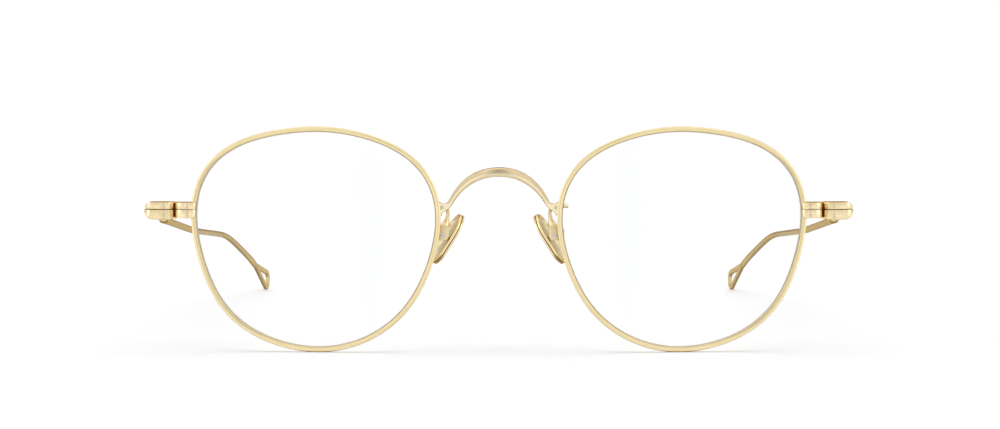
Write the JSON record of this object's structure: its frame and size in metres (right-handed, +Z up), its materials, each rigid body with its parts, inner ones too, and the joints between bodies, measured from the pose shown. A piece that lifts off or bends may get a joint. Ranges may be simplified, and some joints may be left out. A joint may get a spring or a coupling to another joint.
{
  "type": "eyeglasses",
  "caption": "Round metal eyeglasses with wire rims, clear lenses, an arched bridge, rocking nose pads and thin folding temples that end in open loops.",
  "frame": {"origin": "centre of the footprint on the floor that the open glasses stand on, under the middle of the bounding box", "axes": "+Z up, -Y the way the lenses face, +X the wearer's left"},
  "size_m": [0.1378, 0.1485, 0.0438],
  "materials": {
    "rim_metal": "satin gold-tone plating on wire",
    "bridge_metal": "satin gold-tone plating",
    "end_piece_metal": "fine-brushed gold-tone plating",
    "barrel_metal": "fine-brushed gold-tone plating",
    "temple_metal": "satin gold-tone plating on wire",
    "tip_metal": "satin gold-tone plating",
    "hinge_screw_metal": "satin gold-tone plating",
    "pad_arm_metal": "satin gold-tone plating",
    "pad_metal": "polished pale gold-tone plating",
    "screw_metal": "bare turned steel",
    "washer_metal": "dull dark steel",
    "clear_lens": "clear, coated, polished"
  },
  "bodies": {
    "front": {"rim_right": "rim_metal", "rim_left": "rim_metal", "lens_right": "clear_lens", "lens_left": "clear_lens", "bridge": "bridge_metal", "upper_end_piece_right": "end_piece_metal", "upper_end_piece_left": "end_piece_metal", "lower_closing_block_right": "end_piece_metal", "lower_closing_block_left": "end_piece_metal", "closing_screw_right": "screw_metal", "closing_screw_left": "screw_metal", "hinge_screw_right": "hinge_screw_metal", "hinge_screw_left": "hinge_screw_metal", "hinge_washer_right": "washer_metal", "hinge_washer_left": "washer_metal", "pad_arm_right": "pad_arm_metal", "pad_arm_left": "pad_arm_metal", "pad_box_right": "pad_arm_metal", "pad_box_left": "pad_arm_metal", "pad_screw_right": "screw_metal", "pad_screw_left": "screw_metal"},
    "temple_right_body": {"temple_barrel_right": "barrel_metal", "temple_right": "temple_metal", "tip_loop_right": "tip_metal"},
    "temple_left_body": {"temple_barrel_left": "barrel_metal", "temple_left": "temple_metal", "tip_loop_left": "tip_metal"},
    "pad_right_body": {"pad_lug_right": "pad_metal", "nose_pad_right": "pad_metal"},
    "pad_left_body": {"pad_lug_left": "pad_metal", "nose_pad_left": "pad_metal"}
  },
  "joints": [
    {"name": "temple_fold_right", "type": "hinge", "parent": "front", "child": "temple_right_body", "pos_m": [-0.06508, -0.06793, 0.02659], "axis": [0, 0, -1], "range_deg": [0, 80]},
    {"name": "temple_fold_left", "type": "hinge", "parent": "front", "child": "temple_left_body", "pos_m": [0.06508, -0.06793, 0.02659], "axis": [0, 0, 1], "range_deg": [0, 83]},
    {"name": "pad_rock_right", "type": "hinge", "parent": "front", "child": "pad_right_body", "pos_m": [-0.01107, -0.07026, 0.02264], "axis": [0, 1, 0], "range_deg": [-6, 6]},
    {"name": "pad_rock_left", "type": "hinge", "parent": "front", "child": "pad_left_body", "pos_m": [0.01107, -0.07026, 0.02264], "axis": [0, 1, 0], "range_deg": [-6, 6]}
  ]
}
